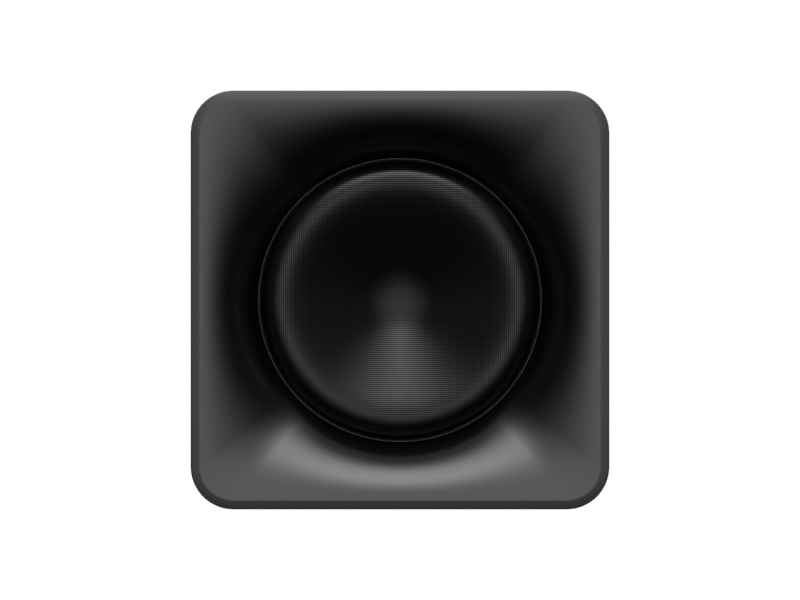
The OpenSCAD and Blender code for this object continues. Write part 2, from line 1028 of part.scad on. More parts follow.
// Outer sleeves and centre sockets of the two line inputs
module rca_contacts() {
    color(brass)
        on_plate()
            difference() {
                union() {
                    pegs(rca_spots, sleeve_r, -plate_t, sleeve_out);
                    pegs(rca_spots, collar_r, -plate_t, 0);
                    pegs(rca_spots, 1.9, -7.9, sleeve_out - 1);
                }
                difference() {
                    pegs(rca_spots, 3.3, -plate_t - 1, sleeve_out + 1);
                    pegs(rca_spots, 1.9, -8, sleeve_out - 1);
                }
                pegs(rca_spots, 1.6, -6, sleeve_out + 1);
            }
}

// A two-pin mains inlet with a figure-of-eight recess
module ac_inlet() {
    color(plastic_black)
        on_plate(inlet_spot)
            difference() {
                union() {
                    block(34, 24, 0, 2);
                    block(28, 18, -20, 1);
                }
                pegs([[-4.3, 0], [4.3, 0]], 4.6, -13, 3);
                block(8.6, 6.4, -13, 3);
                pegs([[-4.3, 0], [4.3, 0]], 1.3, -21, 3);
            }
}

module ac_pins() {
    color(brass)
        on_plate(inlet_spot)
            pegs([[-4.3, 0], [4.3, 0]], 1.2, -24, -2);
}

module rocker_frame() {
    color(plastic_black)
        on_plate(rocker_spot)
            difference() {
                union() {
                    block(23, 32, 0, 2);
                    block(18, 27, -18, 1);
                }
                block(rocker_w + 0.6, 2 * rocker_half + 1.2, -14, 3);
                translate([-8, 0, pivot_z])
                    rotate([0, 90, 0])
                        cylinder(r = 1.46, h = 16, $fn = 32);
            }
}

module power_rocker() {
    color("#232427")
        on_plate(rocker_spot)
            translate([0, 0, pivot_z])
                rotate([rocker_swing / 2, 0, 0])
                    union() {
                        rotate([90, 0, 90])
                            translate([0, 0, -rocker_w / 2])
                                linear_extrude(rocker_w)
                                    polygon([
                                        [-rocker_half, 3.2], [0, 2], [rocker_half, 3.2],
                                        [rocker_half, 0], [4, -5], [-4, -5], [-rocker_half, 0]
                                    ]);
                        translate([-7.8, 0, 0])
                            rotate([0, 90, 0])
                                cylinder(r = 1.4, h = 15.6, $fn = 32);
                    }
}

cabinet_shell();
rear_panel();
front_baffle();
window_brace();
acoustic_wadding();
feet();
foot_screws();
waveguide();
waveguide_screws();
horn_gasket();
seat_magnets();
driver_basket();
driver_gasket();
driver_screws();
top_plate();
magnet();
pole_yoke();
spider();
surround();
cone();
dust_cap();
coil_former();
voice_coil();
tinsel_leads();
driver_terminals();
speaker_wire_red();
speaker_wire_black();
grille_plate();
grille_ring();
grille_cloth();
grille_magnets();
amp_plate();
amp_gasket();
amp_screws();
amp_enclosure();
heatsink();
control_board();
power_board();
board_standoffs();
transformer();
capacitors();
wireless_board();
gain_pot();
gain_knob();
crossover_pot();
crossover_knob();
phase_switch();
phase_slider();
mode_switch();
mode_slider();
pair_switch();
pair_button();
status_led();
rca_housing();
rca_contacts();
ac_inlet();
ac_pins();
rocker_frame();
power_rocker();
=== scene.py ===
"""Looks of the powered subwoofer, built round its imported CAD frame.

Everything is in metres in the frame's own axes: +X right seen from the front, +Y back, +Z up.
A profile point is (radius, depth): depth is measured back from the front rim.
"""
import json
import math

import bmesh
import bpy
import numpy as np
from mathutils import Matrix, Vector, noise


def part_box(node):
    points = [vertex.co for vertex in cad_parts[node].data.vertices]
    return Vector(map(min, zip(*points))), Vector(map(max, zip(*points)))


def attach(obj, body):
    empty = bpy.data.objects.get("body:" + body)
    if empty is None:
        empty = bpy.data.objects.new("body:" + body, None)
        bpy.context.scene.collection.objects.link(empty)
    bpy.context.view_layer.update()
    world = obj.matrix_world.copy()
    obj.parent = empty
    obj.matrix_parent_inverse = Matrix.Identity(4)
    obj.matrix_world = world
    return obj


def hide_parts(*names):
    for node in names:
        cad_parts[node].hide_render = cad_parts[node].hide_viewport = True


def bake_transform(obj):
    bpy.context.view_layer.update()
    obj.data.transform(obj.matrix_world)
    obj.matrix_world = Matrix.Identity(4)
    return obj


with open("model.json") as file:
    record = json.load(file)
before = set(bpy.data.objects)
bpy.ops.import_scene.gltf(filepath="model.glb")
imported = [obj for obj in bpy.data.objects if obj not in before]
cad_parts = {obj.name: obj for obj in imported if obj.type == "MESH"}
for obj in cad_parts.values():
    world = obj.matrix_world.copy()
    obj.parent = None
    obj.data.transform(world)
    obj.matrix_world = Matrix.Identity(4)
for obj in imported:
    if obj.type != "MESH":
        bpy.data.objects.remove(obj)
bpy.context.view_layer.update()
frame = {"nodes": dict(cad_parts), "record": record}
MM = 0.001

# ---------- sizes ----------

# The horn: its front, axis and half width, and the corners of its square outline
horn_lo, horn_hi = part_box("waveguide")
FRONT = horn_lo[1]
AXIS_Z = (horn_lo[2] + horn_hi[2]) / 2
HALF = (horn_hi[0] - horn_lo[0]) / 2
CORNER_R = 35.4 * MM
CORNER_C = HALF - CORNER_R
# Its bevelled rim: width, drop and the radius of the outer edge
RIM_W = 7.4 * MM
RIM_DROP = 1.4 * MM
RIM_EDGE_R = 0.6 * MM
# Its flare, with the slopes in degrees, and the ledge that the grille sits on
MOUTH_HALF = HALF - RIM_W
HORN_DEPTH = 40 * MM
THROAT_R = 118 * MM
MOUTH_SLOPE = 5
THROAT_SLOPE = 65
SEAT = HORN_DEPTH + 6 * MM
HORN_BACK = SEAT + 3 * MM

# The grille: its round wall, the rolled shoulder, and the dish with its rounded middle
WALL_R = THROAT_R - 2.8 * MM
SHOULDER = 17.6 * MM
SHOULDER_MID = WALL_R - SHOULDER
CREST = HORN_DEPTH - SHOULDER
DISH_SLOPE = math.radians(25)
MIDDLE_R = 66 * MM
# Distance over which the crest turns into the dish's slope
ROOF_EASE = 7.3 * MM
# Distance between the cloth's threads
WEAVE = 1.65 * MM


# ---------- mesh helpers ----------

def add_mesh(name, verts, faces, sharp=40):
    """A mesh object with outward smooth faces, and sharp edges above an angle."""
    mesh = bpy.data.meshes.new(name)
    mesh.from_pydata([tuple(v) for v in verts], [], [tuple(f) for f in faces])
    mesh.validate()
    work = bmesh.new()
    work.from_mesh(mesh)
    bmesh.ops.recalc_face_normals(work, faces=work.faces)
    work.to_mesh(mesh)
    work.free()
    mesh.shade_smooth()
    mesh.set_sharp_from_angle(angle=math.radians(sharp))
    mesh.update()
    piece = bpy.data.objects.new(name, mesh)
    bpy.context.scene.collection.objects.link(piece)
    return piece


def place(radius, depth, angles):
    """World points of a ring round the woofer's axis. The radius may differ at each angle."""
    radius = np.broadcast_to(radius, angles.shape)
    depth = np.broadcast_to(depth, angles.shape)
    return np.column_stack([
        radius * np.cos(angles),
        FRONT + depth,
        AXIS_Z + radius * np.sin(angles),
    ])


def loft(rings, closed):
    """Points and faces of rings joined in order. A closed loft joins the last ring to the first."""
    count = len(rings[0])
    faces = []
    steps = len(rings) if closed else len(rings) - 1
    for i in range(steps):
        j = (i + 1) % len(rings)
        for k in range(count):
            m = (k + 1) % count
            faces.append((i * count + k, i * count + m, j * count + m, j * count + k))
    return np.vstack(rings), faces


def turned(profile, steps=192, centre=(0.0, 0.0)):
    """Points and faces of a closed (radius, depth) profile turned about an axis along Y."""
    angles = np.linspace(0, 2 * math.pi, steps, endpoint=False)
    verts, faces = loft([place(r, d, angles) for r, d in profile], closed=True)
    return verts + np.array([centre[0], 0, centre[1]]), faces


def joined(parts):
    """One list of points and one of faces from several."""
    verts, faces, start = [], [], 0
    for part_verts, part_faces in parts:
        verts.append(part_verts)
        faces.extend(tuple(start + k for k in face) for face in part_faces)
        start += len(part_verts)
    return np.vstack(verts), faces


def swept(path, radius_at, sides=12):
    """Points and faces of a capped tube. radius_at(length so far, angles) gives its radius."""
    path = [Vector(p) for p in path]
    across = Vector((1, 0, 0))
    angles = np.linspace(0, 2 * math.pi, sides, endpoint=False)
    rings, length = [], 0.0
    for k, point in enumerate(path):
        ahead = (path[min(k + 1, len(path) - 1)] - path[max(k - 1, 0)]).normalized()
        across = (across - ahead * across.dot(ahead)).normalized()
        up = ahead.cross(across)
        if k:
            length += (point - path[k - 1]).length
        radius = np.broadcast_to(radius_at(length, angles), angles.shape)
        spokes = [math.cos(a) * across + math.sin(a) * up for a in angles]
        rings.append([point + spoke * float(r) for spoke, r in zip(spokes, radius)])
    verts, faces = loft([np.array(ring) for ring in rings], closed=False)
    last = (len(rings) - 1) * sides
    faces.append(tuple(range(sides)))
    faces.append(tuple(last + k for k in range(sides)))
    return verts, faces


def rounded_path(points, reach, steps=8):
    """A path whose bends are rounded, starting up to a reach before each bend."""
    points = [Vector(p) for p in points]
    path = [points[0]]
    for before, bend, after in zip(points, points[1:], points[2:]):
        inward = bend + (before - bend).normalized() * min(reach, (before - bend).length / 2.2)
        outward = bend + (after - bend).normalized() * min(reach, (after - bend).length / 2.2)
        for k in range(steps + 1):
            t = k / steps
            path.append(inward.lerp(bend, t).lerp(bend.lerp(outward, t), t))
    path.append(points[-1])
    return path


def follow(piece):
    """Bakes the piece's placement into its mesh."""
    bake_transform(piece)


def smooth_step(value, start, end):
    """0 before start, 1 after end, and a smooth rise between."""
    t = np.clip((np.asarray(value) - start) / (end - start), 0, 1)
    return t * t * (3 - 2 * t)


# ---------- horn ----------

def square_radius(angles, half):
    """Distance from the middle to a rounded square, at each angle."""
    corner_r = half - CORNER_C
    folded = np.abs((angles + math.pi / 4) % (math.pi / 2) - math.pi / 4)
    along = CORNER_C * (np.cos(folded) + np.sin(folded))
    arc = along + np.sqrt(np.maximum(along ** 2 - 2 * CORNER_C ** 2 + corner_r ** 2, 0))
    flat = half / np.cos(folded)
    return np.where(np.tan(folded) <= CORNER_C / half, flat, arc)


def horn_angles(side_steps=72, corner_steps=28):
    """Angles round the horn, closer together at the corners."""
    edge = math.atan(CORNER_C / MOUTH_HALF)
    side = np.linspace(-edge, edge, side_steps, endpoint=False)
    corner = np.linspace(edge, math.pi / 2 - edge, corner_steps, endpoint=False)
    quarter = np.concatenate([side, corner])
    return np.concatenate([quarter + q * math.pi / 2 for q in range(4)])


def flare_depth(s):
    """Depth of the flare. Its slope grows evenly from the mouth, s = 0, to the throat, s = 1."""
    start = math.radians(MOUTH_SLOPE)
    slope = math.radians(MOUTH_SLOPE + (THROAT_SLOPE - MOUTH_SLOPE) * s)
    whole = math.log(math.cos(start) / math.cos(math.radians(THROAT_SLOPE)))
    return HORN_DEPTH * math.log(math.cos(start) / math.cos(slope)) / whole


def rim_profile(steps=5):
    """(half width, depth) across the bevelled rim and round its outer edge."""
    tilt = math.atan(RIM_DROP / RIM_W)
    r = RIM_EDGE_R
    arc_d = RIM_DROP + r * math.cos(tilt) - r * (1 - math.sin(tilt)) * math.tan(tilt)
    points = []
    for k in range(steps + 1):
        a = tilt + (math.pi / 2 - tilt) * k / steps
        points.append((HALF - r + r * math.sin(a), arc_d - r * math.cos(a)))
    return points


# The back of the horn: its wall, the side behind the rim, and the skirt inside the cabinet's front
HORN_WALL = 3 * MM
SIDE_END = 24 * MM
SIDE_WALL = 4 * MM
SIDE_CHAMFER = 0.3 * MM
RIM_BACK = 7 * MM
SKIRT_HALF = HALF - 15.5 * MM
SKIRT_END = SEAT + 9.5 * MM
# The flange round the throat, and the groove that its seat magnets lie in
FLANGE_R = 127 * MM
FLANGE_BORE_R = 106 * MM
GROOVE_R = 107.3 * MM
GROOVE_W = 5 * MM
GROOVE_D = 0.3 * MM


def horn_boss(x, z, mouth):
    """A screw boss behind the flare, as points and faces. It ends inside the flare's wall."""
    outer, bore = 4.5 * MM, 2.0 * MM
    sunk = 1.3 * MM
    top = float(flare_depth((mouth - math.hypot(x, z) + outer) / (mouth - THROAT_R))) + sunk
    base = SKIRT_END
    return turned([(outer, top), (outer, base), (bore, base), (bore, top)], 32, (x, z))


def horn():
    """One moulding: the bevelled rim, the flare, the throat's flange, the skirt and eight screw bosses."""
    angles = horn_angles()
    mouth = square_radius(angles, MOUTH_HALF)

    def flare(s, grow=0.0):
        return mouth + (THROAT_R - mouth) * s + grow

    steps = 56
    rings = []
    for k in range(steps, -1, -1):
        s = k / steps
        rings.append(place(flare(s), flare_depth(s), angles))
    for half, depth in rim_profile():
        rings.append(place(square_radius(angles, half), depth, angles))
    for half, depth in [
        (HALF, SIDE_END - SIDE_CHAMFER),
        (HALF - SIDE_CHAMFER, SIDE_END),
        (HALF - SIDE_WALL, SIDE_END),
        (HALF - SIDE_WALL, RIM_BACK),
        (SKIRT_HALF, RIM_BACK),
        (SKIRT_HALF, SKIRT_END),
        (SKIRT_HALF - HORN_WALL, SKIRT_END),
        (SKIRT_HALF - HORN_WALL, RIM_BACK),
    ]:
        rings.append(place(square_radius(angles, half), depth, angles))
    for s in [0.34, 0.5, 0.66, 0.8, 0.9]:
        rings.append(place(flare(s, HORN_WALL), flare_depth(s) + HORN_WALL + 0.5 * MM, angles))
    for r, d in [
        (THROAT_R + HORN_WALL + 0.6 * MM, SEAT - 1 * MM),
        (FLANGE_R, SEAT),
        (FLANGE_R, HORN_BACK),
        (FLANGE_BORE_R, HORN_BACK),
        (FLANGE_BORE_R, SEAT),
        (GROOVE_R, SEAT),
        (GROOVE_R, SEAT + GROOVE_D),
        (GROOVE_R + GROOVE_W, SEAT + GROOVE_D),
        (GROOVE_R + GROOVE_W, SEAT),
        (THROAT_R, SEAT),
    ]:
        rings.append(place(r, d, angles))
    corner_mouth = CORNER_C * math.sqrt(2) + MOUTH_HALF - CORNER_C
    corner, side = HALF - 36.5 * MM, HALF - 29.5 * MM
    bosses = [horn_boss(x * corner, z * corner, corner_mouth) for x in (-1, 1) for z in (-1, 1)]
    bosses += [horn_boss(x * side, z * side, MOUTH_HALF) for x, z in ((1, 0), (0, 1), (-1, 0), (0, -1))]
    verts, faces = joined([loft(rings, closed=True)] + bosses)
    return add_mesh("horn_front", verts, faces, sharp=12)


# ---------- grille ----------

def dish_depth(r):
    """Depth of the grille's outer surface at a radius, up to its wall."""
    slope = math.tan(DISH_SLOPE)
    flat = MIDDLE_R * math.sin(DISH_SLOPE)
    middle_d = CREST + slope * (SHOULDER_MID - flat - ROOF_EASE) + MIDDLE_R * (1 - math.cos(DISH_SLOPE))
    r = np.asarray(r, float)
    inward = np.maximum(SHOULDER_MID - r, 0)
    middle = middle_d - MIDDLE_R + np.sqrt(np.maximum(MIDDLE_R ** 2 - r ** 2, 0))
    cone = CREST + slope * (inward - ROOF_EASE * (1 - np.exp(-inward / ROOF_EASE)))
    shoulder = HORN_DEPTH - np.sqrt(np.maximum(SHOULDER ** 2 - np.maximum(r - SHOULDER_MID, 0) ** 2, 0))
    return np.where(r < flat, middle, np.where(r < SHOULDER_MID, cone, shoulder))


# How far a crossing of two threads stands proud, and how far a gap between threads sinks
CROSSING = 0.015 * MM
GAP = 0.03 * MM
# The radius where the grid of threads ends on the shoulder, and the depth of the back of the rim
GRID_R = WALL_R - 0.9 * MM
LIP = SEAT - 0.1 * MM


def thread_grid():
    """The grid in the circle: its points' places in half weaves, its faces, and which points edge it."""
    half_pitch = WEAVE / 2
    reach = int(GRID_R / half_pitch) + 1
    span = np.arange(-reach, reach + 1)
    i, j = np.meshgrid(span, span, indexing="ij")
    inside = np.hypot(i, j) * half_pitch < GRID_R - 0.35 * half_pitch
    cell = inside[:-1, :-1] & inside[1:, :-1] & inside[1:, 1:] & inside[:-1, 1:]
    used = np.zeros_like(inside)
    for di in (0, 1):
        for dj in (0, 1):
            used[di:used.shape[0] - 1 + di, dj:used.shape[1] - 1 + dj] |= cell
    index = -np.ones(inside.shape, int)
    index[used] = np.arange(used.sum())
    corners = index[:-1, :-1], index[1:, :-1], index[1:, 1:], index[:-1, 1:]
    faces = np.column_stack([corner[cell] for corner in corners])

    edges = np.vstack([faces[:, [k, (k + 1) % 4]] for k in range(4)])
    pairs, times = np.unique(np.sort(edges, axis=1), axis=0, return_counts=True)
    return i[used], j[used], faces, np.unique(pairs[times == 1])


def skin_profile():
    """(radius, depth) from the grid's edge over the wall and the rim's beads, and back inside the dish."""
    cloth = 0.8 * MM
    edge_angle = math.acos((GRID_R - SHOULDER_MID) / SHOULDER)
    profile = [
        (SHOULDER_MID + SHOULDER * math.cos(t), HORN_DEPTH - SHOULDER * math.sin(t))
        for t in np.linspace(edge_angle, 0, 6)[1:]
    ]
    for out, height in [(0, 3.4), (0.15, 2.8), (0.6, 2.6), (0.9, 2.2), (1.2, 1.9)]:
        profile.append((WALL_R + out * MM, LIP - height * MM))
    for inward, height in [(1.2, 2.5), (0.8, 2.7), (0.5, 2.5), (0.4, 2.1), (0.4, 0), (1.1, 0), (1.1, 1.3)]:
        profile.append((THROAT_R - inward * MM, LIP - height * MM))
    profile += [(WALL_R - cloth, LIP - 1.3 * MM), (WALL_R - cloth, HORN_DEPTH)]
    for r in [114.6, 113, 110, 106, 101, 96, 90, 84, 68, 52, 36, 24, 12, 4]:
        profile.append((r * MM - cloth / 2, float(dish_depth(r * MM)) + 0.5 * MM))
    return profile


def grille_cloth():
    """A closed woven skin. Its face is a square grid of threads: crossings stand proud, gaps sink."""
    i, j, faces, rim = thread_grid()
    faces = [tuple(f) for f in faces]
    angle = np.arctan2(j, i)
    radius = np.hypot(i, j) * WEAVE / 2
    radius[rim] = GRID_R
    rim = rim[np.argsort(angle[rim])]

    even_i, even_j = i % 2 == 0, j % 2 == 0
    relief = np.where(even_i & even_j, CROSSING, np.where(even_i | even_j, 0.0, -GAP))
    relief[rim] = 0
    verts = [place(radius, dish_depth(radius) - relief, angle)]

    # The rest grows from the grid's edge in rings. The front of the rim is rippled, point by point.
    previous = rim
    total = len(radius)
    alternate = np.arange(len(rim)) % 2
    for r, depth in skin_profile():
        ripple = 0.12 * MM if r > WALL_R and depth < LIP - 1.8 * MM else 0
        verts.append(place(r, depth + ripple * alternate, angle[rim]))
        ring = np.arange(total, total + len(rim))
        total += len(rim)
        for k in range(len(rim)):
            m = (k + 1) % len(rim)
            faces.append((previous[k], previous[m], ring[m], ring[k]))
        previous = ring
    faces.append(tuple(previous[::-1]))
    return add_mesh("grille_skin", np.vstack(verts), faces, sharp=180)


# ---------- woofer's soft parts, wires and windings ----------

# The woofer: the front of its frame, the edge of its cone, the surround's roll,
# the ledge that the spider is glued to, and the former
FLANGE = HORN_BACK + 2 * MM
CONE_R = 80 * MM
ROLL_R = 9 * MM
ROLL_MID = CONE_R + 15 * MM
SURROUND_R = 111 * MM
LEDGE = FLANGE + 58 * MM
COIL_R = 25.5 * MM
# Distance of the woofer's two terminal tags from its middle
TAG_X = 20 * MM


def surround():
    """A half roll of rubber with a flat land on each side and a bead where it meets the cone."""
    skin = 1.0 * MM
    front = FLANGE - skin
    outer = ROLL_R + 1.1 * MM
    inner = outer - skin
    start, steps = math.radians(8), 28
    arc = np.linspace(start, math.pi - start, steps + 1)
    profile = [(CONE_R + 0.6 * MM, FLANGE)]
    for out, height in [(0.6, -0.3), (1.0, 0.4), (1.8, 0.6), (2.6, 0.3), (3.2, 0)]:
        profile.append((CONE_R + out * MM, front - height * MM))
    for a in arc:
        profile.append((ROLL_MID - outer * math.cos(a), FLANGE - outer * math.sin(a)))
    rounding = 0.4 * MM
    profile += [
        (ROLL_MID + outer + 0.9 * MM, front),
        (SURROUND_R - rounding, front),
        (SURROUND_R, front + rounding),
        (SURROUND_R, FLANGE),
    ]
    for a in reversed(arc):
        profile.append((ROLL_MID - inner * math.cos(a), FLANGE - inner * math.sin(a) + 0.02 * MM))
    piece = add_mesh("surround_roll", *turned(profile, 256), sharp=50)
    follow(piece)
    return piece


def spider():
    """A corrugated cloth disc between the former and the basket's ledge."""
    start, end = COIL_R + 0.1 * MM, 65 * MM
    land, waves, steps = 3 * MM, 5, 110
    wave_h = 2 * MM

    def depth(r):
        t = min(1, max(0, (r - start - land) / (end - start - 4 * land)))
        return LEDGE - 1 * MM - wave_h * math.sin(2 * math.pi * waves * t) * math.sin(math.pi * t)

    radii = [start + (end - start) * k / steps for k in range(steps + 1)]
    profile = [(r, depth(r) + 0.75 * MM) for r in radii]
    profile += [(r, depth(r) + 0.1 * MM) for r in reversed(radii)]
    piece = add_mesh("spider_disc", *turned(profile, 256), sharp=60)
    follow(piece)
    return piece


def tinsel_braids():
    """Two braided leads that sag between the terminal strip and the back of the cone."""
    lo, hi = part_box("driver_terminals")
    tag_z, tag_d = lo[2] - AXIS_Z - 1 * MM, (lo[1] + hi[1]) / 2 - FRONT
    neck_r, cone_d = 26.3 * MM, 48 * MM
    end_x, end_r, sag = 9 * MM, 46 * MM, 12 * MM
    end_d = FLANGE + cone_d * (CONE_R - end_r - 1 * MM) / (CONE_R - neck_r) + 3.2 * MM
    steps, sides = 90, 12

    def braid(length, angles):
        twist = length / (0.9 * MM)
        return 0.72 * MM + 0.1 * MM * np.sin(2 * angles + twist) * np.sin(2 * angles - twist)

    parts, weights = [], []
    for side in (-1, 1):
        path = []
        for k in range(steps + 1):
            t = k / steps
            x = side * (TAG_X + (end_x - TAG_X) * t)
            depth = tag_d + (end_d - tag_d) * t + sag * math.sin(math.pi * t)
            path.append((x, FRONT + depth, AXIS_Z + tag_z + (end_r - tag_z) * t))
            weights += [float(smooth_step(t, 0, 1))] * sides
        parts.append(swept(path, braid, sides))
    piece = add_mesh("tinsel_braids", *joined(parts), sharp=180)
    follow(piece)
    return piece


def speaker_wire(name, side, node):
    """An insulated wire with rounded bends, from the woofer's tag to the deep amplifier board."""
    lo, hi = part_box(node)
    wadding_lo, wadding_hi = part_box("acoustic_wadding")
    tag_z, run_z, board_z = hi[2] - AXIS_Z - 1.6 * MM, 84 * MM, -20 * MM
    run_x, board_x = 14 * MM, 13 * MM
    points = [
        (TAG_X, lo[1], tag_z),
        (TAG_X, lo[1] + 18 * MM, tag_z),
        (run_x, lo[1] + 45 * MM, run_z),
        (run_x, wadding_lo[1] + 20 * MM, run_z),
        (board_x, wadding_hi[1] + 32 * MM, board_z),
        (board_x, hi[1], board_z),
    ]
    path = rounded_path([(side * x, y, AXIS_Z + z) for x, y, z in points], 16 * MM)
    return add_mesh(name, *swept(path, lambda length, angles: 1.55 * MM, 20))


def wadding():
    """A soft batt round the magnet: a puffed, lumpy ring with a square outline."""
    lo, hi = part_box("acoustic_wadding")
    half = (hi[0] - lo[0]) / 2
    middle, half_d = (lo[1] + hi[1]) / 2 - FRONT, (hi[1] - lo[1]) / 2
    angles = horn_angles(48, 24)
    outer = square_radius(angles, half)
    hole = 108 * MM
    around, squareness = 56, 0.45
    sunk, lump_h = 3.2 * MM, 2.2 * MM

    def lump(point):
        return noise.noise(Vector(point) / (17 * MM)) + 0.5 * noise.noise(Vector(point) / (7 * MM))

    rings = []
    for k in range(around):
        a = 2 * math.pi * k / around
        across = math.copysign(abs(math.cos(a)) ** squareness, math.cos(a))
        deep = math.copysign(abs(math.sin(a)) ** squareness, math.sin(a))
        radius = (outer + hole) / 2 + across * (outer - hole) / 2
        ring = place(radius, middle + deep * half_d, angles)
        inward = place((outer + hole) / 2, middle, angles) - ring
        lumps = np.array([lump(point) for point in ring])
        share = (sunk + lump_h * lumps) / np.linalg.norm(inward, axis=1)
        rings.append(ring + inward * np.clip(share, 0, 1)[:, None])
    return add_mesh("wadding_batt", *loft(rings, closed=True), sharp=180)


def coil_turns():
    """The voice coil: wire wound side by side on the former."""
    lo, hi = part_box("voice_coil")
    start, end = lo[1] - FRONT, hi[1] - FRONT
    outer = (hi[0] - lo[0]) / 2
    turns, points = 30, 5
    wire = (end - start) / turns
    profile = [(COIL_R, end), (COIL_R, start)]
    for n in range(turns):
        for k in range(points):
            a = math.pi * (k + 0.5) / points
            radius = outer - wire / 2 * (1 - math.sin(a))
            profile.append((radius, start + wire * (n + 0.5 - 0.5 * math.cos(a))))
    return add_mesh("coil_turns", *turned(profile, 128), sharp=180)


def toroid():
    """The mains transformer: a ring core wound all round with enamelled wire."""
    lo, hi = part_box("transformer")
    centre = (Vector(lo) + Vector(hi)) / 2
    outer, half_h = (hi[0] - lo[0]) / 2, (hi[1] - lo[1]) / 2
    tube_w, corner, turns, steps = 17 * MM, 5 * MM, 72, 8
    groove = 0.06
    section = []
    for x, y, start in ((1, 1, 0), (-1, 1, 90), (-1, -1, 180), (1, -1, 270)):
        for k in range(7):
            a = math.radians(start + 15 * k)
            across = x * (tube_w / 2 - corner) + corner * math.cos(a)
            section.append((across, y * (half_h - corner) + corner * math.sin(a)))
    section = np.array(section)
    rings = []
    for k in range(turns * steps):
        a = 2 * math.pi * k / (turns * steps)
        dip = 1 - groove * (1 - abs(math.sin(turns * a / 2)))
        radius = outer - tube_w / 2 + section[:, 0] * dip
        rings.append(np.column_stack([
            centre.x + radius * math.cos(a),
            centre.y + section[:, 1] * dip,
            centre.z + radius * math.sin(a),
        ]))
    return add_mesh("toroid_winding", *loft(rings, closed=True), sharp=180)


# Places of the four capacitors, from the plate's middle and the woofer's axis, in millimetres
CAN_SPOTS = [(50, -30), (50, -52), (50, -74), (27, -80)]
# A can's outline: how far in from its radius, and how far from its free end or its base, in millimetres
CAN_TOP = [(2.6, 0.5), (2.2, 0), (0.9, 0), (0.25, 0.25), (0, 0.9)]
CAN_BASE = [(0, 3.4), (0.5, 3), (0.8, 2.5), (0.5, 2), (0, 1.6), (0.2, 0.3), (0.7, 0)]


def cans():
    """Four capacitors with a sunk end and a crimp round the base of the sleeve."""
    lo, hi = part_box("capacitors")
    front, base = lo[1] - FRONT, hi[1] - FRONT
    can_r, middle_r = 9 * MM, 0.6 * MM
    profile = [(middle_r, front + 0.5 * MM)]
    profile += [(can_r - inward * MM, front + back * MM) for inward, back in CAN_TOP]
    profile += [(can_r - inward * MM, base - ahead * MM) for inward, ahead in CAN_BASE]
    profile.append((middle_r, base))
    plate_lo, plate_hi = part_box("amp_plate")
    mid_x = (plate_lo[0] + plate_hi[0]) / 2
    parts = [turned(profile, 48, (mid_x + x * MM, z * MM)) for x, z in CAN_SPOTS]
    return add_mesh("capacitor_cans", *joined(parts), sharp=35)


# ---------- materials ----------

class Nodes:
    """A node tree, with short calls that add to it."""

    def __init__(self, tree):
        self.tree = tree

    def node(self, kind, **settings):
        """A new node with some of its settings changed."""
        made = self.tree.nodes.new(kind)
        for key, value in settings.items():
            setattr(made, key, value)
        return made

    def link(self, output, socket):
        self.tree.links.new(output, socket)

    def feed(self, value, socket):
        """Gives a socket a link, a colour or a number."""
        if isinstance(value, bpy.types.NodeSocket):
            self.link(value, socket)
        elif isinstance(value, tuple):
            socket.default_value = (*value, 1)
        else:
            socket.default_value = value

    def maths(self, operation, a, b=0.0):
        """One step of maths on links or numbers."""
        made = self.node("ShaderNodeMath", operation=operation)
        self.feed(a, made.inputs[0])
        self.feed(b, made.inputs[1])
        return made.outputs["Value"]

    def square_sum(self, a, b):
        """a squared plus b squared."""
        return self.maths("ADD", self.maths("MULTIPLY", a, a), self.maths("MULTIPLY", b, b))

    def mixed_shaders(self, share, a, b):
        """Shader a where the share is 0 and shader b where it is 1."""
        made = self.node("ShaderNodeMixShader")
        for value, socket in zip((share, a, b), made.inputs):
            self.link(value, socket)
        return made.outputs["Shader"]


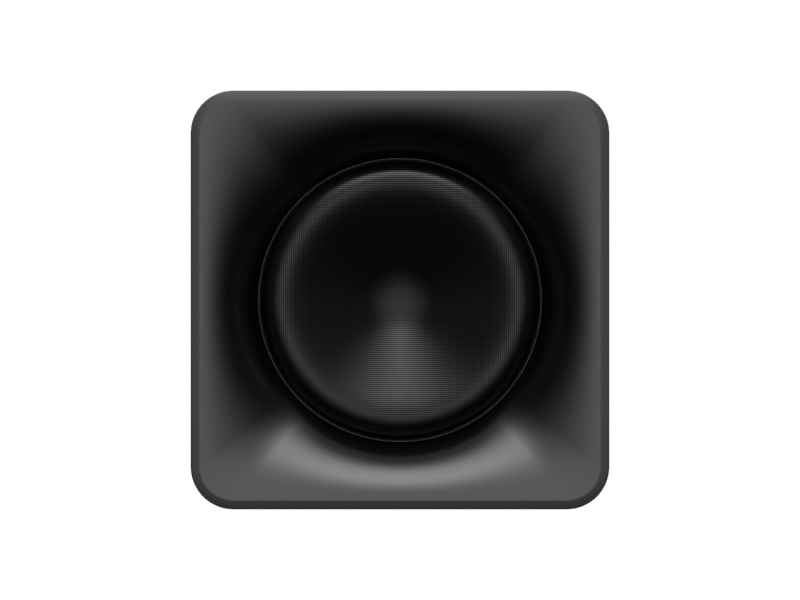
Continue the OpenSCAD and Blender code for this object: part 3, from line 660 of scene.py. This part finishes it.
class Material(Nodes):
    """A node material with short calls for the nodes that the finishes share."""

    def __init__(self, name):
        self.data = bpy.data.materials.new(name)
        self.data.use_nodes = True
        super().__init__(self.data.node_tree)
        self.shader = self.tree.nodes["Principled BSDF"]

    def place(self, scale=1.0):
        """The piece's own coordinates in metres, times a scale."""
        coords = self.node("ShaderNodeTexCoord")
        mapping = self.node("ShaderNodeMapping")
        mapping.inputs["Scale"].default_value = (scale, scale, scale)
        self.link(coords.outputs["Object"], mapping.inputs["Vector"])
        return mapping.outputs["Vector"]

    def axes(self, scale=1.0):
        """x, y and z of the piece's own coordinates in metres, times a scale."""
        split = self.node("ShaderNodeSeparateXYZ")
        self.link(self.place(scale), split.inputs["Vector"])
        return split.outputs["X"], split.outputs["Y"], split.outputs["Z"]

    def texture(self, kind, vector, **values):
        """A texture node. Color1 and Brick_Width stand for its inputs Color1 and Brick Width."""
        made = self.node(kind)
        self.link(vector, made.inputs["Vector"])
        for key, value in values.items():
            self.feed(value, made.inputs[key.replace("_", " ")])
        return made

    def noise(self, size, detail=3.0, roughness=0.55):
        """Noise whose blobs are about size metres across."""
        values = {"Scale": 1.0 / size, "Detail": detail, "Roughness": roughness}
        return self.texture("ShaderNodeTexNoise", self.place(), **values).outputs["Fac"]

    def ramp(self, value, low, high, colour_low, colour_high):
        """One colour up to low, another from high, and a blend between."""
        made = self.node("ShaderNodeValToRGB")
        made.color_ramp.elements[0].position = low
        made.color_ramp.elements[1].position = high
        made.color_ramp.elements[0].color = (*colour_low, 1)
        made.color_ramp.elements[1].color = (*colour_high, 1)
        self.link(value, made.inputs["Fac"])
        return made.outputs["Color"]

    def spread(self, value, low, high):
        """Maps 0..1 to low..high."""
        made = self.node("ShaderNodeMapRange")
        made.inputs["To Min"].default_value = low
        made.inputs["To Max"].default_value = high
        self.feed(value, made.inputs["Value"])
        return made.outputs["Result"]

    def mixed(self, share, a, b):
        """Colour a where the share is 0 and colour b where it is 1."""
        made = self.node("ShaderNodeMix", data_type="RGBA")
        self.feed(share, made.inputs[0])
        self.feed(a, made.inputs[6])
        self.feed(b, made.inputs[7])
        return made.outputs[2]

    def every(self, first, *others):
        """1 where all the masks are 1."""
        for other in others:
            first = self.maths("MULTIPLY", first, other)
        return first

    def between(self, value, low, high):
        """1 where the value is between two numbers."""
        return self.every(self.maths("GREATER_THAN", value, low), self.maths("LESS_THAN", value, high))

    def from_middle(self, node):
        """Sideways and upward distance from a CAD node's middle."""
        lo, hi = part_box(node)
        x, _, z = self.axes()
        across = self.maths("SUBTRACT", x, (lo[0] + hi[0]) / 2)
        return across, self.maths("SUBTRACT", z, (lo[2] + hi[2]) / 2)

    def bump(self, height, distance, strength=1.0):
        """Raises the surface by up to a distance where the height is 1."""
        made = self.node("ShaderNodeBump")
        made.inputs["Distance"].default_value = distance
        made.inputs["Strength"].default_value = strength
        self.link(height, made.inputs["Height"])
        self.link(made.outputs["Normal"], self.shader.inputs["Normal"])

    def set(self, **values):
        """Sets the shader's inputs, such as base_color, and gives the finished material."""
        sockets = {socket.name.lower(): socket for socket in self.shader.inputs}
        for key, value in values.items():
            self.feed(value, sockets[key.replace("_", " ")])
        return self.data


def grey(level):
    """A very slightly blue grey."""
    return (level, level, level * 1.03)


def shades(colour, low, high):
    """A colour made darker and lighter. A plain number stands for a grey."""
    colour = colour if isinstance(colour, tuple) else grey(colour)
    return tuple(c * low for c in colour), tuple(c * high for c in colour)


def satin_plastic(name, colour, roughness, grain=0.25 * MM, depth=0.012 * MM):
    """Moulded plastic: a fine spark-eroded grain, and faint differences in gloss and tone."""
    m = Material(name)
    broad = m.noise(60 * MM, 2)
    m.bump(m.noise(grain, 2), depth, 0.35)
    tone = m.ramp(broad, 0.3, 0.7, *shades(colour, 0.85, 1.15))
    return m.set(base_color=tone, roughness=m.spread(broad, roughness * 0.97, roughness * 1.03))


def marked_knob(name, node):
    """Knob plastic with white paint in the pointer's groove."""
    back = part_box(node)[1][1]
    half_w, inner_end, groove_d = 0.62 * MM, 3.9 * MM, 0.75 * MM
    m = Material(name)
    _, depth, _ = m.axes()
    across, up = m.from_middle(node)
    paint = m.every(
        m.maths("LESS_THAN", m.maths("ABSOLUTE", across), half_w),
        m.maths("GREATER_THAN", up, inner_end),
        m.maths("GREATER_THAN", depth, back - groove_d),
    )
    m.bump(m.noise(0.2 * MM, 2), 0.015 * MM, 0.4)
    tone = m.ramp(m.noise(8 * MM), 0.3, 0.7, *shades(0.012, 0.8, 1.2))
    return m.set(base_color=m.mixed(paint, tone, (0.75, 0.75, 0.73)), roughness=0.42)


def input_plastic():
    """Black plastic whose two insulating rings are white and red, as line inputs are marked."""
    m = Material("input_plastic")
    lo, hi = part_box("rca_contacts")
    contact_r = (hi[2] - lo[2]) / 2
    apart = (hi[0] - lo[0]) / 2 - contact_r
    insulator_r = 3.3 * MM
    across, up = m.from_middle("rca_contacts")
    tone = m.ramp(m.noise(8 * MM), 0.3, 0.7, *shades(0.01, 0.8, 1.2))
    for centre, paint in ((apart, (0.7, 0.7, 0.68)), (-apart, (0.45, 0.02, 0.015))):
        square = m.square_sum(m.maths("SUBTRACT", across, centre), up)
        tone = m.mixed(m.maths("LESS_THAN", square, insulator_r ** 2), tone, paint)
    m.bump(m.noise(0.2 * MM, 2), 0.01 * MM, 0.4)
    return m.set(base_color=tone, roughness=0.35)


def knob_scale(m, node):
    """Tick marks 30 degrees apart round a knob, over the 300 degrees that it turns."""
    lo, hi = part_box(node)
    inner, outer = (hi[0] - lo[0]) / 2 + 2.6 * MM, (hi[0] - lo[0]) / 2 + 4.6 * MM
    across, up = m.from_middle(node)
    radius = m.maths("SQRT", m.square_sum(across, up))
    angle = m.maths("ARCTAN2", across, up)
    off = m.maths("MULTIPLY", m.maths("PINGPONG", angle, math.radians(15)), radius)
    swing = m.maths("LESS_THAN", m.maths("ABSOLUTE", angle), math.radians(155))
    return m.every(m.between(radius, inner, outer), m.maths("LESS_THAN", off, 0.3 * MM), swing)


def button_ring(m, node):
    """A thin ring round a button."""
    lo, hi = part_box(node)
    button_r = (hi[0] - lo[0]) / 2
    radius = m.maths("SQRT", m.square_sum(*m.from_middle(node)))
    return m.between(radius, button_r + 0.9 * MM, button_r + 1.3 * MM)


def switch_mark(m, node, shift):
    """A short line above a slide switch, shifted towards -X from its slider's middle."""
    across, up = m.from_middle(node)
    off = m.maths("ABSOLUTE", m.maths("ADD", across, shift))
    return m.every(m.maths("LESS_THAN", off, 0.25 * MM), m.between(up, 3.4 * MM, 5.2 * MM))


def printed_plate():
    """Powder-coated plate with plain white marks at the knobs, the button and the switches."""
    m = Material("printed_plate")
    marks = [knob_scale(m, "gain_knob"), knob_scale(m, "crossover_knob"), button_ring(m, "pair_button")]
    marks += [switch_mark(m, "phase_slider", shift * MM) for shift in (0, 4)]
    marks += [switch_mark(m, "mode_slider", shift * MM) for shift in (-3, 0, 3)]
    inked = 0.0
    for mark in marks:
        inked = m.maths("MAXIMUM", mark, inked)
    m.bump(m.noise(0.7 * MM, 2), 0.03 * MM, 0.5)
    tone = m.ramp(m.noise(25 * MM), 0.3, 0.7, *shades(0.01, 0.85, 1.2))
    return m.set(base_color=m.mixed(inked, tone, (0.72, 0.72, 0.7)), roughness=0.38)


# Share of its sheen that the cloth loses where the dish tilts, and where it tilts across both sets of threads
TILT_LOSS = 0.3
DIAGONAL_LOSS = 3.2


def dish_sheen(m, across, up):
    """The share of sheen left at a place in weaves from the dish's axis. The shoulder keeps it all."""
    normal = m.node("ShaderNodeSeparateXYZ")
    m.link(m.node("ShaderNodeNewGeometry").outputs["Normal"], normal.inputs["Vector"])
    x, z = normal.outputs["X"], normal.outputs["Z"]
    diagonal = m.maths("ABSOLUTE", m.maths("MULTIPLY", x, z))
    tilt_lost = m.maths("MULTIPLY", m.square_sum(x, z), TILT_LOSS)
    lost = m.maths("ADD", tilt_lost, m.maths("MULTIPLY", diagonal, DIAGONAL_LOSS))
    in_dish = m.maths("LESS_THAN", m.maths("SQRT", m.square_sum(across, up)), SHOULDER_MID / WEAVE)
    return m.maths("SUBTRACT", 1.0, m.maths("MULTIPLY", lost, in_dish))


def woven_cloth():
    """Glossy black threads with dark gaps, on the same square grid as the grille's mesh."""
    m = Material("woven_cloth")
    across, _, z = m.axes(1 / WEAVE)
    up = m.maths("SUBTRACT", z, AXIS_Z / WEAVE)
    upright, level = [m.maths("COSINE", m.maths("MULTIPLY", value, 2 * math.pi)) for value in (across, up)]
    thread = m.maths("MAXIMUM", upright, level)
    fibre = m.noise(0.12 * MM, 2)
    m.bump(m.maths("ADD", thread, m.maths("MULTIPLY", fibre, 0.3)), 0.012 * MM, 0.25)
    lit = m.maths("MULTIPLY", m.spread(thread, 0.02, 0.325), dish_sheen(m, across, up))
    return m.set(base_color=grey(0.001), roughness=0.21, specular_ior_level=lit)


def rubber(name, level=0.02):
    """Dull black rubber with a fine texture."""
    m = Material(name)
    m.bump(m.noise(0.4 * MM, 2), 0.02 * MM, 0.4)
    colour = m.ramp(m.noise(12 * MM), 0.35, 0.7, grey(level * 0.8), grey(level * 1.25))
    return m.set(base_color=colour, roughness=m.spread(m.noise(6 * MM), 0.62, 0.78))


def metal(name, colour, roughness):
    """Bare or plated metal: a finely pitted surface, duller in patches."""
    m = Material(name)
    pits = m.noise(0.35 * MM, 4, 0.5)
    m.bump(pits, 0.01 * MM, 0.4)
    tone = m.ramp(m.noise(9 * MM), 0.3, 0.7, *shades(colour, 0.8, 1.0))
    gloss = m.spread(pits, roughness * 0.8, roughness * 1.2)
    return m.set(base_color=tone, metallic=1.0, roughness=gloss)


def powder_coat(name, level, roughness=0.5):
    """Powder-coated metal: an orange-peel surface."""
    m = Material(name)
    m.bump(m.noise(0.7 * MM, 2), 0.04 * MM, 0.5)
    colour = m.ramp(m.noise(25 * MM), 0.3, 0.7, grey(level * 0.85), grey(level * 1.2))
    return m.set(base_color=colour, roughness=m.spread(m.noise(3 * MM), roughness * 0.9, roughness * 1.1))


def fibreboard():
    """Black-stained fibreboard: short fibres and flecks."""
    m = Material("fibreboard")
    fibres = m.noise(0.5 * MM, 5, 0.7)
    m.bump(fibres, 0.05 * MM, 0.5)
    colour = m.ramp(fibres, 0.3, 0.75, (0.008, 0.0075, 0.0075), (0.022, 0.021, 0.02))
    return m.set(base_color=colour, roughness=0.62)


def pulp(name, level):
    """Coated paper pulp: matted fibres."""
    m = Material(name)
    fibres = m.noise(0.9 * MM, 5, 0.7)
    m.bump(fibres, 0.08 * MM, 0.6)
    colour = m.ramp(fibres, 0.3, 0.75, grey(level * 0.5), grey(level * 1.6))
    return m.set(base_color=colour, roughness=0.6)


def loose_fibre():
    """Pale, matted lining fibre."""
    m = Material("loose_fibre")
    fibres = m.noise(1.2 * MM, 6, 0.75)
    m.bump(fibres, 0.6 * MM, 0.9)
    colour = m.ramp(fibres, 0.3, 0.7, (0.42, 0.4, 0.36), (0.82, 0.8, 0.75))
    return m.set(base_color=colour, roughness=0.95, sheen_weight=0.4)


def circuit_board():
    """Green solder mask over copper tracks laid on a square grid."""
    m = Material("circuit_board")
    x, _, z = m.axes(1 / MM)
    face = m.node("ShaderNodeCombineXYZ")
    m.link(x, face.inputs["X"])
    m.link(z, face.inputs["Y"])
    tracks = m.texture(
        "ShaderNodeTexBrick",
        face.outputs["Vector"],
        Scale=1.0,
        Mortar_Size=0.12,
        Brick_Width=3.0,
        Row_Height=1.27,
        Color1=(0.012, 0.06, 0.03),
        Color2=(0.016, 0.085, 0.04),
        Mortar=(0.03, 0.14, 0.06),
    )
    m.bump(tracks.outputs["Fac"], 0.05 * MM, 0.5)
    return m.set(base_color=tracks.outputs["Color"], roughness=0.35)


def windings(name, colour, pitch):
    """Wire wound side by side along the depth axis, with painted shade darkening the colour in the grooves
    between turns.
    """
    m = Material(name)
    _, depth, _ = m.axes(1 / pitch)
    height = m.maths("ABSOLUTE", m.maths("SINE", m.maths("MULTIPLY", depth, math.pi)))
    m.bump(height, pitch * 0.4, 0.9)
    # Painted shade: the colour falls to 0.3 of itself in the grooves between turns, where the height is low
    tone = m.ramp(height, 0.1, 0.8, *shades(colour, 0.3, 1.0))
    return m.set(base_color=tone, metallic=0.8, roughness=0.35)


def lens():
    """Cloudy clear plastic."""
    m = Material("lens")
    tone = m.ramp(m.noise(1.5 * MM), 0.3, 0.7, (0.7, 0.78, 0.8), (0.85, 0.9, 0.92))
    return m.set(base_color=tone, roughness=0.3, transmission_weight=0.5, ior=1.45)


def spider_cloth():
    """Resin-stiffened cotton weave."""
    m = Material("spider_cloth")
    weave = m.texture(
        "ShaderNodeTexChecker",
        m.place(),
        Scale=1 / (0.5 * MM),
        Color1=(0.42, 0.28, 0.1),
        Color2=(0.28, 0.18, 0.06),
    )
    m.bump(weave.outputs["Fac"], 0.08 * MM, 0.5)
    return m.set(base_color=weave.outputs["Color"], roughness=0.7)


# The finish of each material slot in the record
FINISHES = {
    "cabinet_finish": satin_plastic("cabinet_finish", 0.008, 0.4),
    "horn_plastic": satin_plastic("horn_plastic", 0.0012, 0.22, grain=0.18 * MM, depth=0.005 * MM),
    "grille_fabric": woven_cloth(),
    "plastic_black": satin_plastic("plastic_black", 0.01, 0.38),
    "fibreboard": fibreboard(),
    "wadding": loose_fibre(),
    "rubber": rubber("rubber"),
    "zinc_steel": metal("zinc_steel", (0.5, 0.51, 0.53), 0.35),
    "black_metal": powder_coat("black_metal", 0.013, 0.48),
    "cast_frame": powder_coat("cast_frame", 0.02, 0.55),
    "ferrite": powder_coat("ferrite", 0.02, 0.7),
    "cone_paper": pulp("cone_paper", 0.014),
    "spider_cloth": spider_cloth(),
    "copper": windings("copper", (0.72, 0.33, 0.16), 0.5 * MM),
    "brass": metal("brass", (0.78, 0.58, 0.22), 0.28),
    "former": satin_plastic("former", (0.42, 0.33, 0.16), 0.5),
    "red_insulation": satin_plastic("red_insulation", (0.38, 0.025, 0.018), 0.42),
    "board": circuit_board(),
    "cap_sleeve": satin_plastic("cap_sleeve", (0.03, 0.05, 0.12), 0.25),
    "led_lens": lens(),
}
# Nodes whose finish has paint or colour of its own
OWN_FINISHES = {
    "gain_knob": marked_knob("gain_knob_plastic", "gain_knob"),
    "crossover_knob": marked_knob("crossover_knob_plastic", "crossover_knob"),
    "amp_plate": printed_plate(),
    "rca_housing": input_plastic(),
}
# Width of the rounding on hard edges, in millimetres
EDGES = {
    "cabinet_shell": 1.2, "heatsink": 0.35, "ac_inlet": 0.5, "rocker_frame": 0.5, "power_rocker": 0.35,
    "gain_knob": 0.3, "crossover_knob": 0.3, "pair_button": 0.15, "amp_screws": 0.3, "feet": 0.8,
    "pole_yoke": 0.5, "magnet": 0.6, "top_plate": 0.5, "rca_contacts": 0.15,
    "phase_slider": 0.2, "mode_slider": 0.2,
}


def finish(piece, material):
    """Gives a piece one material."""
    piece.data.materials.clear()
    piece.data.materials.append(material)


def soften(piece, width):
    """Rounds hard edges with modifiers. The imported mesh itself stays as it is."""
    weld = piece.modifiers.new("weld", "WELD")
    weld.merge_threshold = 0.005 * MM
    bevel = piece.modifiers.new("edges", "BEVEL")
    bevel.width = width
    bevel.segments = 2
    bevel.limit_method = "ANGLE"
    bevel.angle_limit = math.radians(38)
    bevel.harden_normals = True


SLOT_OF = {s["node"]: s["material_slot"] for s in frame["record"]["subparts"]}
for name, node in frame["nodes"].items():
    finish(node, OWN_FINISHES.get(name) or FINISHES[SLOT_OF[name]])
    if name in EDGES:
        soften(node, EDGES[name] * MM)


# ---------- pieces ----------

def put(piece, body, slot, node):
    """Gives a new piece its finish and its body, and hides the CAD node that it stands for. A piece given no
    body stays unattached.
    """
    finish(piece, FINISHES[slot])
    if body:
        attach(piece, body)
    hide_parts(node)


put(horn(), "cabinet", "horn_plastic", "waveguide")
put(grille_cloth(), "grille", "grille_fabric", "grille_cloth")
put(surround(), None, "rubber", "surround")
put(spider(), None, "spider_cloth", "spider")
put(tinsel_braids(), None, "copper", "tinsel_leads")
put(speaker_wire("wire_red", 1, "speaker_wire_red"), "cabinet", "red_insulation", "speaker_wire_red")
put(speaker_wire("wire_black", -1, "speaker_wire_black"), "cabinet", "plastic_black", "speaker_wire_black")
put(wadding(), "cabinet", "wadding", "acoustic_wadding")
put(coil_turns(), "cone_assembly", "copper", "voice_coil")
put(toroid(), "cabinet", "copper", "transformer")
put(cans(), "cabinet", "cap_sleeve", "capacitors")


# ---------- stage ----------

# The camera's distance from the front, and the width that it sees there
CAMERA_DISTANCE = 4.0
VIEW_WIDTH = 658.7 * MM
SENSOR_W = 36


def direction(azimuth, elevation):
    """A unit vector seen from the object. Azimuth 0 is straight in front, and 90 is +X."""
    az, el = math.radians(azimuth), math.radians(elevation)
    return math.sin(az) * math.cos(el), -math.cos(az) * math.cos(el), math.sin(el)


# Soft lights far away: azimuth, elevation, width in degrees, brightness
LIGHTS = [
    (0, 10, 35, 2.45),
    (0, 70, 10, 3.2),
    (18, 51, 17, 4.6),
    (-18, 51, 17, 4.6),
    (135, 5, 28, 2.2),
    (120, 35, 24, 1.6),
    (-140, 25, 30, 1.4),
    (180, 65, 20, 3.0),
]
# How sharply each light ends, and the brightness between them
FALLOFF = 2.2
DARK = 0.01


def studio():
    """White to the camera. Everything else sees round soft lights in a dark room."""
    world = bpy.data.worlds.new("studio")
    bpy.context.scene.world = world
    world.use_nodes = True
    world.node_tree.nodes.clear()
    m = Nodes(world.node_tree)

    def backdrop(strength):
        made = m.node("ShaderNodeBackground")
        m.feed((1, 1, 1), made.inputs["Color"])
        m.feed(strength, made.inputs["Strength"])
        return made.outputs["Background"]

    coords = m.node("ShaderNodeTexCoord")
    total = DARK
    for azimuth, elevation, width, brightness in LIGHTS:
        aim = m.node("ShaderNodeVectorMath", operation="DOT_PRODUCT")
        aim.inputs[1].default_value = direction(azimuth, elevation)
        m.link(coords.outputs["Generated"], aim.inputs[0])
        off = m.maths("DIVIDE", m.maths("ARCCOSINE", aim.outputs["Value"]), math.radians(width))
        glow = m.maths("EXPONENT", m.maths("MULTIPLY", m.maths("POWER", off, FALLOFF), -1.0))
        total = m.maths("ADD", m.maths("MULTIPLY", glow, brightness), total)

    seen = m.node("ShaderNodeLightPath").outputs["Is Camera Ray"]
    shader = m.mixed_shaders(seen, backdrop(total), backdrop(1.0))
    m.link(shader, m.node("ShaderNodeOutputWorld").inputs["Surface"])


def floor():
    """A pale floor. It washes out to white at a grazing view, and lets the low fill light through."""
    half = 40.0
    corners = [(-half, -half, 0), (half, -half, 0), (half, half, 0), (-half, half, 0)]
    piece = add_mesh("floor", corners, [(0, 1, 2, 3)])
    m = Material("floor")
    tone = m.ramp(m.noise(0.4), 0.3, 0.7, (0.78, 0.78, 0.78), (0.82, 0.82, 0.82))
    m.set(base_color=tone, roughness=0.9)
    facing = m.node("ShaderNodeLayerWeight")
    facing.inputs["Blend"].default_value = 0.5
    grazing = m.node("ShaderNodeMapRange")
    grazing.inputs["From Min"].default_value = 0.72
    grazing.inputs["From Max"].default_value = 0.9
    m.link(facing.outputs["Facing"], grazing.inputs["Value"])
    white = m.node("ShaderNodeEmission")
    white.inputs["Strength"].default_value = 1.0
    wash = m.mixed_shaders(grazing.outputs["Result"], m.shader.outputs["BSDF"], white.outputs["Emission"])
    clear = m.node("ShaderNodeBsdfTransparent").outputs["BSDF"]
    seen = m.node("ShaderNodeLightPath").outputs["Is Camera Ray"]
    shader = m.mixed_shaders(seen, clear, wash)
    m.link(shader, m.tree.nodes["Material Output"].inputs["Surface"])
    finish(piece, m.data)


def camera():
    """Straight in front of the horn, level with the woofer's axis."""
    data = bpy.data.cameras.new("camera")
    data.sensor_width = SENSOR_W
    data.lens = SENSOR_W * CAMERA_DISTANCE / VIEW_WIDTH
    data.clip_end = 100
    view = bpy.data.objects.new("camera", data)
    bpy.context.scene.collection.objects.link(view)
    view.location = (0, FRONT - CAMERA_DISTANCE, AXIS_Z)
    view.rotation_euler = (math.pi / 2, 0, 0)
    bpy.context.scene.camera = view


studio()
floor()
camera()
bpy.context.scene.view_settings.view_transform = "Standard"
